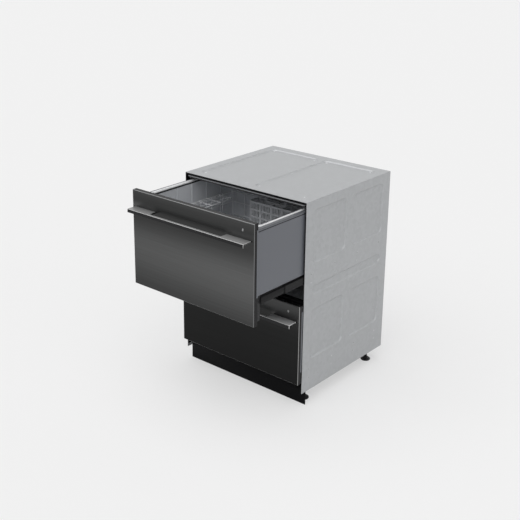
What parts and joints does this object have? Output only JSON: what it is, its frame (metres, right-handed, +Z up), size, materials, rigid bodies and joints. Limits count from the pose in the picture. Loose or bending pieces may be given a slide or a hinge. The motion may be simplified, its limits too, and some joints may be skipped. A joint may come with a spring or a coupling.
{
  "type": "dishwasher drawer",
  "caption": "Built-in dishwasher with stacked slide-out drawers, flat full-width handles and racks, each drawer a separate tub.",
  "frame": {"origin": "centre of the bounding box on the floor, with the upper drawer about half open", "axes": "+X to the right seen from the front, +Y into the cabinet, +Z up"},
  "size_m": [0.598, 0.877, 0.82],
  "materials": {
    "front_steel": "brushed dark",
    "handle_steel": "brushed dark",
    "body_sheet": "zinc plated sheet",
    "runner_steel": "zinc plated",
    "black_paint": "satin",
    "grey_paint": "satin",
    "rack_wire": "nylon coated",
    "tub_plastic": "satin",
    "grey_plastic": "satin",
    "lid_plastic": "satin",
    "black_plastic": "satin",
    "button_plastic": "satin",
    "seal_rubber": "matte"
  },
  "bodies": {
    "body": {"side_panel_left": "body_sheet", "side_panel_right": "body_sheet", "top_panel": "body_sheet", "back_panel": "body_sheet", "base_pan": "body_sheet", "toe_kick": "black_paint", "front_frame": "black_paint", "inlet_block": "black_plastic", "upper_outer_runner_left": "runner_steel", "upper_outer_runner_right": "runner_steel", "lower_outer_runner_left": "runner_steel", "lower_outer_runner_right": "runner_steel"},
    "foot_front_left": {"foot_front_left": "black_plastic"},
    "foot_front_right": {"foot_front_right": "black_plastic"},
    "foot_back_left": {"foot_back_left": "black_plastic"},
    "foot_back_right": {"foot_back_right": "black_plastic"},
    "upper_drawer": {"upper_front_panel": "front_steel", "upper_handle": "handle_steel", "upper_door_carrier": "black_plastic", "upper_wash_tub": "tub_plastic", "upper_tub_wrapper": "grey_paint", "upper_sump": "black_plastic", "upper_dish_rack": "rack_wire", "upper_cutlery_basket": "grey_plastic", "upper_inner_runner_left": "black_paint", "upper_inner_runner_right": "black_paint"},
    "upper_start_button": {"upper_start_button": "button_plastic"},
    "upper_dispenser_door": {"upper_dispenser_door": "grey_plastic"},
    "upper_rinse_cap": {"upper_rinse_cap": "grey_plastic"},
    "upper_drain_filter": {"upper_drain_filter": "grey_plastic"},
    "upper_spray_arm": {"upper_spray_arm": "grey_plastic"},
    "upper_folding_tines": {"upper_folding_tines": "rack_wire"},
    "upper_cup_shelf_left": {"upper_cup_shelf_left": "rack_wire"},
    "upper_middle_runner_left": {"upper_middle_runner_left": "runner_steel"},
    "upper_cup_shelf_right": {"upper_cup_shelf_right": "rack_wire"},
    "upper_middle_runner_right": {"upper_middle_runner_right": "runner_steel"},
    "upper_lid": {"upper_lid": "lid_plastic", "upper_lid_seal": "seal_rubber"},
    "lower_drawer": {"lower_front_panel": "front_steel", "lower_handle": "handle_steel", "lower_door_carrier": "black_plastic", "lower_wash_tub": "tub_plastic", "lower_tub_wrapper": "grey_paint", "lower_sump": "black_plastic", "lower_dish_rack": "rack_wire", "lower_cutlery_basket": "grey_plastic", "lower_inner_runner_left": "black_paint", "lower_inner_runner_right": "black_paint"},
    "lower_start_button": {"lower_start_button": "button_plastic"},
    "lower_dispenser_door": {"lower_dispenser_door": "grey_plastic"},
    "lower_rinse_cap": {"lower_rinse_cap": "grey_plastic"},
    "lower_drain_filter": {"lower_drain_filter": "grey_plastic"},
    "lower_spray_arm": {"lower_spray_arm": "grey_plastic"},
    "lower_folding_tines": {"lower_folding_tines": "rack_wire"},
    "lower_cup_shelf_left": {"lower_cup_shelf_left": "rack_wire"},
    "lower_middle_runner_left": {"lower_middle_runner_left": "runner_steel"},
    "lower_cup_shelf_right": {"lower_cup_shelf_right": "rack_wire"},
    "lower_middle_runner_right": {"lower_middle_runner_right": "runner_steel"},
    "lower_lid": {"lower_lid": "lid_plastic", "lower_lid_seal": "seal_rubber"}
  },
  "joints": [
    {"name": "upper_drawer_slide", "type": "slide", "parent": "body", "child": "upper_drawer", "axis": [0, -1, 0], "range_m": [-0.262, 0.238]},
    {"name": "upper_runner_left_slide", "type": "slide", "parent": "body", "child": "upper_middle_runner_left", "axis": [0, -1, 0], "range_m": [-0.131, 0.119]},
    {"name": "upper_runner_right_slide", "type": "slide", "parent": "body", "child": "upper_middle_runner_right", "axis": [0, -1, 0], "range_m": [-0.131, 0.119]},
    {"name": "upper_lid_drop", "type": "slide", "parent": "body", "child": "upper_lid", "axis": [0, 0, -1], "range_m": [0, 0.01]},
    {"name": "upper_button_press", "type": "slide", "parent": "upper_drawer", "child": "upper_start_button", "axis": [0, 1, 0], "range_m": [0, 0.002], "stiffness_N_per_m": 400},
    {"name": "upper_dispenser_door_hinge", "type": "hinge", "parent": "upper_drawer", "child": "upper_dispenser_door", "pos_m": [-0.027, -0.3449, 0.718], "axis": [-1, 0, 0], "range_deg": [0, 80]},
    {"name": "upper_rinse_cap_turn", "type": "hinge", "parent": "upper_drawer", "child": "upper_rinse_cap", "pos_m": [0.052, -0.345, 0.74], "axis": [0, 1, 0], "range_deg": [0, 90]},
    {"name": "upper_filter_turn", "type": "hinge", "parent": "upper_drawer", "child": "upper_drain_filter", "pos_m": [0.105, -0.2315, 0.556], "axis": [0, 0, 1], "range_deg": [0, 90]},
    {"name": "upper_spray_arm_spin", "type": "hinge", "parent": "upper_drawer", "child": "upper_spray_arm", "pos_m": [0, -0.10685, 0.575], "axis": [0, 0, 1], "continuous": true},
    {"name": "upper_tines_fold", "type": "hinge", "parent": "upper_drawer", "child": "upper_folding_tines", "pos_m": [0.052, -0.15, 0.6028], "axis": [0, -1, 0], "range_deg": [0, 80]},
    {"name": "upper_cup_shelf_left_fold", "type": "hinge", "parent": "upper_drawer", "child": "upper_cup_shelf_left", "pos_m": [-0.255, -0.137, 0.7003], "axis": [0, -1, 0], "range_deg": [0, 80]},
    {"name": "upper_cup_shelf_right_fold", "type": "hinge", "parent": "upper_drawer", "child": "upper_cup_shelf_right", "pos_m": [0.255, -0.137, 0.7003], "axis": [0, 1, 0], "range_deg": [0, 80]},
    {"name": "lower_drawer_slide", "type": "slide", "parent": "body", "child": "lower_drawer", "axis": [0, -1, 0], "range_m": [0, 0.5]},
    {"name": "lower_runner_left_slide", "type": "slide", "parent": "body", "child": "lower_middle_runner_left", "axis": [0, -1, 0], "range_m": [0, 0.25]},
    {"name": "lower_runner_right_slide", "type": "slide", "parent": "body", "child": "lower_middle_runner_right", "axis": [0, -1, 0], "range_m": [0, 0.25]},
    {"name": "lower_lid_drop", "type": "slide", "parent": "body", "child": "lower_lid", "axis": [0, 0, -1], "range_m": [0, 0.01]},
    {"name": "lower_button_press", "type": "slide", "parent": "lower_drawer", "child": "lower_start_button", "axis": [0, 1, 0], "range_m": [0, 0.002], "stiffness_N_per_m": 400},
    {"name": "lower_dispenser_door_hinge", "type": "hinge", "parent": "lower_drawer", "child": "lower_dispenser_door", "pos_m": [-0.027, -0.0829, 0.328], "axis": [-1, 0, 0], "range_deg": [0, 80]},
    {"name": "lower_rinse_cap_turn", "type": "hinge", "parent": "lower_drawer", "child": "lower_rinse_cap", "pos_m": [0.052, -0.083, 0.35], "axis": [0, 1, 0], "range_deg": [0, 90]},
    {"name": "lower_filter_turn", "type": "hinge", "parent": "lower_drawer", "child": "lower_drain_filter", "pos_m": [0.105, 0.0305, 0.166], "axis": [0, 0, 1], "range_deg": [0, 90]},
    {"name": "lower_spray_arm_spin", "type": "hinge", "parent": "lower_drawer", "child": "lower_spray_arm", "pos_m": [0, 0.15515, 0.185], "axis": [0, 0, 1], "continuous": true},
    {"name": "lower_tines_fold", "type": "hinge", "parent": "lower_drawer", "child": "lower_folding_tines", "pos_m": [0.052, 0.112, 0.2128], "axis": [0, -1, 0], "range_deg": [0, 80]},
    {"name": "lower_cup_shelf_left_fold", "type": "hinge", "parent": "lower_drawer", "child": "lower_cup_shelf_left", "pos_m": [-0.255, 0.125, 0.3103], "axis": [0, -1, 0], "range_deg": [0, 80]},
    {"name": "lower_cup_shelf_right_fold", "type": "hinge", "parent": "lower_drawer", "child": "lower_cup_shelf_right", "pos_m": [0.255, 0.125, 0.3103], "axis": [0, 1, 0], "range_deg": [0, 80]},
    {"name": "foot_front_left_screw", "type": "slide", "parent": "body", "child": "foot_front_left", "axis": [0, 0, -1], "range_m": [0, 0.06]},
    {"name": "foot_front_right_screw", "type": "slide", "parent": "body", "child": "foot_front_right", "axis": [0, 0, -1], "range_m": [0, 0.06]},
    {"name": "foot_back_left_screw", "type": "slide", "parent": "body", "child": "foot_back_left", "axis": [0, 0, -1], "range_m": [0, 0.06]},
    {"name": "foot_back_right_screw", "type": "slide", "parent": "body", "child": "foot_back_right", "axis": [0, 0, -1], "range_m": [0, 0.06]}
  ],
  "couplings": [
    {"joint": "upper_runner_left_slide", "follows": "upper_drawer_slide", "ratio": 0.5},
    {"joint": "upper_runner_right_slide", "follows": "upper_drawer_slide", "ratio": 0.5},
    {"joint": "lower_runner_left_slide", "follows": "lower_drawer_slide", "ratio": 0.5},
    {"joint": "lower_runner_right_slide", "follows": "lower_drawer_slide", "ratio": 0.5}
  ]
}
